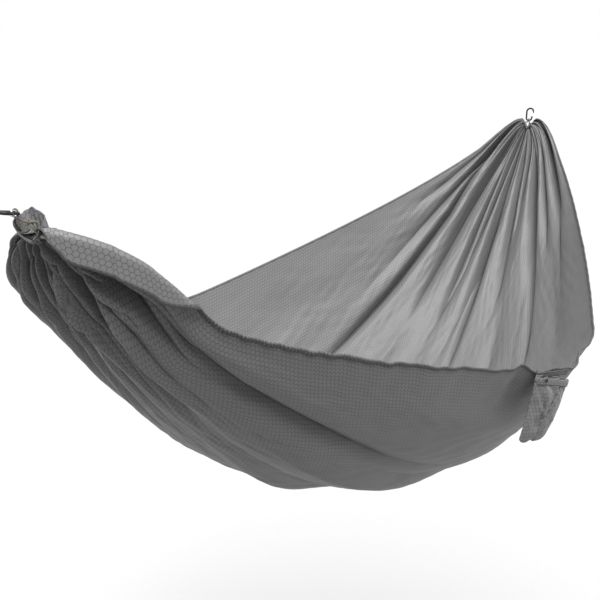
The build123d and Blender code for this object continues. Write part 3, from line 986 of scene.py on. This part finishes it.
def sack_panels(sack):
    """The two panels, sewn at their sides and bottom, a little full and creased."""
    across, down = np.meshgrid(np.linspace(0, 1, 80), np.linspace(0, 1, 96), indexing="xy")
    top = SACK_MOUTH + mouth_sag(across)
    notch = 0.005 * bell((across - 0.42) / 0.09)
    bottom = SACK_HEIGHT + 0.006 - 0.012 * np.abs(2 * across - 1) ** 5 - notch
    y = -top - (bottom - top) * down
    left = SACK_DRIFT * down - 0.010 * (1 - down) - 0.004 * down + 0.003 * np.sin(math.pi * down)
    right = SACK_WIDTH_TOP + (SACK_DRIFT + SACK_WIDTH_BOTTOM - SACK_WIDTH_TOP) * down
    right = right - 0.010 + 0.005 * np.sin(math.pi * down)
    x = left + (right - left) * across
    inside = (np.sin(math.pi * across) * np.cos(math.pi / 2 * down**2.2)) ** 0.55
    broad = soft_noise(across, down, 31, 18, 3.2, 3.0)
    fine = soft_noise(across, down, 32, 26, 8, 8)
    crease = bell((across - 0.30 - 0.25 * down) / 0.035) * smooth((down - 0.05) / 0.3)
    crease -= bell((across - 0.72 + 0.30 * down) / 0.05) * smooth((0.9 - down) / 0.4) * 0.8
    for name, side, full, creased in (("sack_front", 1, 1.0, 0.0050), ("sack_back", -1, 0.7, 0.0)):
        wrinkles = (0.0026 * broad + 0.0009 * fine + creased * crease) * inside
        z = SACK_DEPTH / 2 * (1 + side * full * inside) + wrinkles
        cloth_piece(name, sack.place(x, y, z), np.stack([x, y], -1) + PANEL_SHIFT, PANEL_THICKNESS,
                    RIPSTOP, "ripstop_cloth", f"{name}_panel", body="stuff_sack")


def sack_mouth(sack):
    """The folded band round the mouth, drawn in a little and wavy along its top."""
    t = angles(240)
    middle, half = SACK_WIDTH_TOP / 2 - 0.009, SACK_WIDTH_TOP / 2 - 0.003
    off_x = half * np.sign(np.cos(t)) * np.abs(np.cos(t)) ** 0.9
    off_z = SACK_DEPTH / 2 * 0.92 * np.sign(np.sin(t)) * np.abs(np.sin(t)) ** 0.6
    rows = np.linspace(0, 1, 14)
    wave = 0.0010 * np.sin(9 * t) + 0.0007 * np.sin(17 * t + 1)
    foot = -SACK_MOUTH - 0.001 - mouth_sag((middle + off_x) / SACK_WIDTH_TOP)
    swell = 0.0016 * np.sin(math.pi * rows)
    points = np.array([
        sack.place(middle + off_x * (1 + out / half), foot + (BAND_HEIGHT + BAND_TOP + wave) * row,
                   SACK_DEPTH / 2 + off_z * (1 + 8 * out)) for row, out in zip(rows, swell)])
    places = pairs(rows * BAND_HEIGHT, distances(points[0]))[..., ::-1]
    cloth_piece("sack_band", points, places, BAND_THICKNESS, BAND_CLOTH, "hem_cloth", "sack_mouth_hem",
                body="stuff_sack", wrap=True)
    line = points[1]
    tangent = unit(np.roll(line, -1, 0) - np.roll(line, 1, 0))
    proud = np.cross(tangent, sack.y)
    stitches("sack_band_stitches", line, tangent, proud, np.full(len(line), 0.0012), 1, "stuff_sack", 0.0011)


def sack_strip(sack):
    """The strip that joins the sack's back to the near hem."""
    across, down = np.meshgrid(np.linspace(0, 1, 70), np.linspace(0, 1, 10), indexing="xy")
    x = STRIP_INSET + (SACK_WIDTH_TOP - 2 * STRIP_INSET) * across
    y = -0.001 - (SACK_MOUTH - BAND_HEIGHT + 0.002) * down
    z = 0.0014 + 0.0009 * np.sin(26 * across + 2 * down) * (1 - 0.5 * down)
    # the strip takes the near hem's darker copy, painted shade included
    cloth_piece("sack_strip", sack.place(x, y, z), np.stack([x, y], -1), STRIP_THICKNESS, HEM_CLOTH,
                "hem_cloth", "sack_tab", body="stuff_sack")


def finish_nodes():
    """The carried-over CAD nodes keep their shape and get their finish; the sack's eyelet's black is partly
    painted shade.
    """
    for name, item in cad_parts.items():
        material = THREAD
        if name.endswith("carabiner_gate"):
            material = STEEL_WIRE
        # the sack's eyelet is made black to stand for the dark spot at the sack's corner, which is partly
        # dark stitching and partly painted shade
        elif name.endswith("carabiner_body") or name == "sack_eyelet":
            material = BLACK_ALLOY
        item.data.materials.clear()
        item.data.materials.append(material)


def build():
    """Every piece of the object, in order."""
    u, _, points = bed_grid()
    bed = cloth_piece("bed_cloth", points, flat_places(points), CLOTH_THICKNESS, RIPSTOP, "ripstop_cloth",
                      "bed_fabric", "foot_end_reinforcement", "head_end_reinforcement")
    rims = points[12:-6]
    # the near hem takes the darker copy, which carries painted shade
    hem("near_hem", rims[:, 0], rims[:, 4], "near_edge_hem", near_hem_strength, 41, HEM_CLOTH)
    hem("far_hem", rims[:, -1], rims[:, -5], "far_edge_hem", lambda share: 0.30 + 0 * share, 42,
        FAR_HEM_CLOTH, 0.85)
    for gather, radius, count, span in ((FOOT, 0.0052, 12, 0.42), (HEAD, 0.0044, 14, 0.60)):
        cord_loop(gather)
        knot(gather)
        channel(gather, radius, count, 51, span)
    frill(FOOT)
    hem_tacks(points)
    end_seams(u, points)
    sack = SackFrame()
    sack_panels(sack)
    sack_mouth(sack)
    sack_strip(sack)
    finish_nodes()


build()


# ---- stage, light and camera ----
FLOOR_Z = -2.4           # low, so that the shadow is faint and far below
SUN_STRENGTH, SUN_ANGLE = 11.0, math.radians(55)
SUN_WAY = Vector((0.30, 0.22, -0.93))
FLOOR_TONE = 1.02 / (1 + SUN_STRENGTH * 0.93 / math.pi)   # lit floor and sky come out equally pale
LAMP_POWER, LAMP_SIZE = 44, 1.6
LAMP_AT, LAMP_AIM = Vector((3.0, -2.6, 0.1)), Vector((1.3, -0.4, -0.6))
CAMERA_AT = (-1.0554, -1.0927, 0.2704)
YAW, PITCH, ROLL = math.radians(30.07), math.radians(15.26), math.radians(0.46)
LENS = 60.96


def lit(name, kind, power, way):
    """A lamp that shines along way."""
    lamp = bpy.data.lights.new(name, kind)
    lamp.energy = power
    item = bpy.data.objects.new(name, lamp)
    item.rotation_euler = way.to_track_quat("-Z", "Y").to_euler()
    bpy.context.scene.collection.objects.link(item)
    return item


def studio():
    """A plain pale floor, an even white sky, a soft sun and a soft lamp low beyond the head end."""
    bpy.ops.mesh.primitive_plane_add(size=400, location=(1.2, 0, FLOOR_Z))
    floor = bpy.context.object
    floor.name = "floor"
    tone = (FLOOR_TONE, FLOOR_TONE, FLOOR_TONE, 1)
    inputs = {"Base Color": tone, "Roughness": 1.0, "Specular IOR Level": 0.0}
    floor.data.materials.append(surface(new_material("pale_floor")[0], inputs))
    world = bpy.data.worlds.new("studio")
    bpy.context.scene.world = world
    world.use_nodes = True
    sky = world.node_tree.nodes["Background"]
    sky.inputs[0].default_value = (1, 1, 1, 1)
    sky.inputs[1].default_value = 1.0
    lit("soft_sky", "SUN", SUN_STRENGTH, SUN_WAY).data.angle = SUN_ANGLE
    lamp = lit("soft_side", "AREA", LAMP_POWER, LAMP_AIM - LAMP_AT)
    lamp.data.size = LAMP_SIZE
    lamp.location = LAMP_AT


def camera():
    """A 61 mm view from beyond the foot end, on the near side and a little above."""
    forward = Vector((math.cos(YAW) * math.cos(PITCH), math.sin(YAW) * math.cos(PITCH), -math.sin(PITCH)))
    right = Vector((math.sin(YAW), -math.cos(YAW), 0))
    up = right.cross(forward)
    right, up = right * math.cos(ROLL) + up * math.sin(ROLL), up * math.cos(ROLL) - right * math.sin(ROLL)
    lens = bpy.data.cameras.new("camera")
    lens.sensor_width = 36
    lens.lens = LENS
    item = bpy.data.objects.new("camera", lens)
    turned = Matrix((right, up, -forward)).transposed().to_4x4()
    item.matrix_world = Matrix.Translation(CAMERA_AT) @ turned
    bpy.context.scene.collection.objects.link(item)
    bpy.context.scene.camera = item


studio()
camera()
bpy.context.scene.view_settings.view_transform = "Standard"
